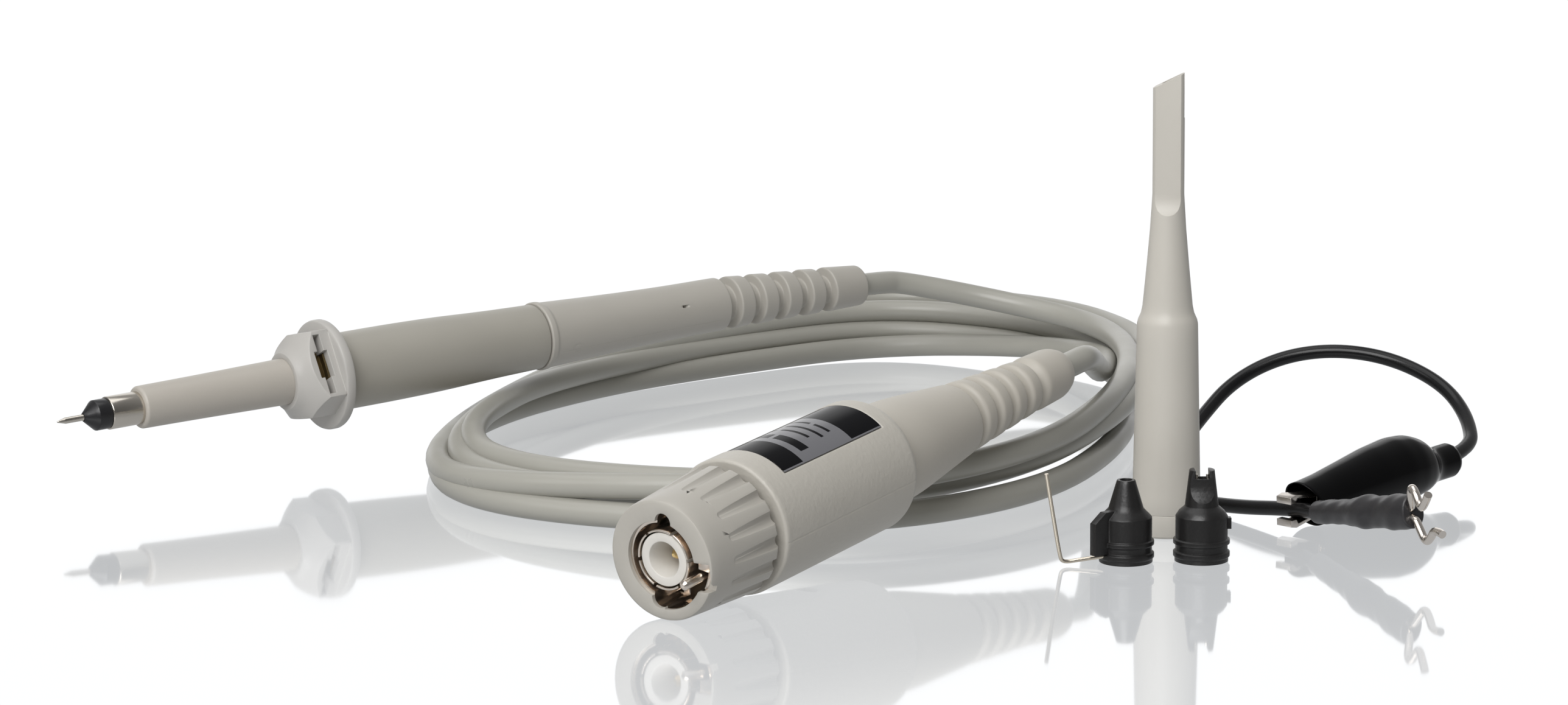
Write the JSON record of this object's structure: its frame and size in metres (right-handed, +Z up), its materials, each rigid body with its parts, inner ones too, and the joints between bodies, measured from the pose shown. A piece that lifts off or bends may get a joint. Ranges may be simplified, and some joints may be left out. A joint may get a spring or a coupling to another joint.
{
  "type": "oscilloscope probe",
  "caption": "Passive oscilloscope probe: slim probe head, coiled coaxial cable, compensation box with bayonet plug, and its hook tip, ground lead and tip caps.",
  "frame": {"origin": "centre of the bounding box of the rigid pieces (cable and ground lead left out), at floor level", "axes": "+Z up; +Y runs away from the viewer along the longest extent, the probe head points toward -X"},
  "size_m": [0.2102, 0.207, 0.0647],
  "materials": {
    "nickel": "bright nickel plate",
    "black_plastic": "fine grained",
    "white_insulator": "satin",
    "ceramic_part": "matt",
    "grey_shaft": "satin",
    "grey_collar": "satin",
    "brass_contact": "dull",
    "grey_barrel": "satin",
    "cable_grey": "semi-gloss",
    "spring_steel": "bright",
    "gold_pin": "gold plate",
    "grey_box": "fine leather grain",
    "label_film": "satin film",
    "board": "solder resist",
    "grey_hook": "satin",
    "black_rubber": "satin",
    "black_gloss": "high gloss",
    "shrink_grey": "satin"
  },
  "bodies": {
    "probe": {"contact_needle": "nickel", "nose_insulator": "black_plastic", "ground_barrel": "nickel", "tip_dielectric": "white_insulator", "tip_resistor": "ceramic_part", "tip_shaft": "grey_shaft", "ground_collar": "grey_collar", "ground_socket_contact": "brass_contact", "front_barrel": "grey_barrel", "rear_barrel_boot": "grey_barrel", "head_crimp_ferrule": "brass_contact", "head_cable_core": "white_insulator", "cable_coil": "cable_grey", "cable_head_stretch": "cable_grey", "cable_box_stretch": "cable_grey", "bayonet_wave_spring": "spring_steel", "bnc_body": "nickel", "bnc_outer_contact": "nickel", "bnc_dielectric": "white_insulator", "bnc_centre_pin": "gold_pin", "readout_pin_barrel": "brass_contact", "readout_pin_spring": "spring_steel", "box_housing": "grey_box", "box_label": "label_film", "circuit_board": "board", "board_components": "ceramic_part", "trimmer_body": "white_insulator", "box_boot": "grey_box", "box_crimp_ferrule": "brass_contact", "box_cable_core": "white_insulator"},
    "bayonet_coupling": {"bayonet_nut": "grey_collar", "bayonet_sleeve": "nickel"},
    "readout_plunger": {"readout_pin": "nickel"},
    "trimmer_screw": {"trimmer_rotor": "brass_contact"},
    "hook_tip": {"hook_sleeve": "grey_hook", "hook_sleeve_ring": "grey_hook", "hook_spring": "spring_steel"},
    "hook_plunger": {"hook_core": "grey_hook", "hook_contact": "brass_contact", "hook_wire": "nickel"},
    "ground_lead": {"ground_lead_wire": "black_rubber", "clip_boot": "black_gloss", "clip_jaw_lower": "nickel", "clip_pivot_pin": "nickel", "lead_heat_shrink": "shrink_grey", "lead_fork_contact": "nickel"},
    "clip_jaw": {"clip_jaw_upper": "nickel"},
    "finned_tip_cap": {"finned_cap": "black_plastic", "ground_whisker": "nickel"},
    "forked_tip_cap": {"forked_cap": "black_plastic", "forked_cap_pins": "nickel"}
  },
  "joints": [
    {"name": "bayonet_turn", "type": "hinge", "parent": "probe", "child": "bayonet_coupling", "pos_m": [0.00761, -0.08372, 0.00803], "axis": [0.5845, 0.8044, 0.1063], "range_deg": [-60, 0]},
    {"name": "readout_press", "type": "slide", "parent": "probe", "child": "readout_plunger", "axis": [0.5845, 0.8044, 0.1063], "range_m": [0, 0.0012], "stiffness_N_per_m": 150},
    {"name": "trimmer_turn", "type": "hinge", "parent": "probe", "child": "trimmer_screw", "pos_m": [0.02573, -0.05878, 0.01132], "axis": [-0.0625, -0.086, 0.9943], "continuous": true},
    {"name": "hook_tip_lift", "type": "slide", "parent": "probe", "child": "hook_tip", "axis": [0, 0, 1], "range_m": [0, 0.08]},
    {"name": "hook_extend", "type": "slide", "parent": "hook_tip", "child": "hook_plunger", "axis": [0, 0, 1], "range_m": [0, 0.004], "stiffness_N_per_m": 250, "deforming": ["hook_spring"]},
    {"name": "ground_lead_lift", "type": "slide", "parent": "probe", "child": "ground_lead", "axis": [0, 0, 1], "range_m": [0, 0.06]},
    {"name": "clip_open", "type": "hinge", "parent": "ground_lead", "child": "clip_jaw", "pos_m": [0.10049, -0.02916, 0.00392], "axis": [-0.6717, 0.7408, 0], "range_deg": [0, 8], "stiffness_Nm_per_rad": 0.05},
    {"name": "finned_cap_lift", "type": "slide", "parent": "probe", "child": "finned_tip_cap", "axis": [0, 0, 1], "range_m": [0, 0.03]},
    {"name": "forked_cap_lift", "type": "slide", "parent": "probe", "child": "forked_tip_cap", "axis": [0, 0, 1], "range_m": [0, 0.03]}
  ]
}
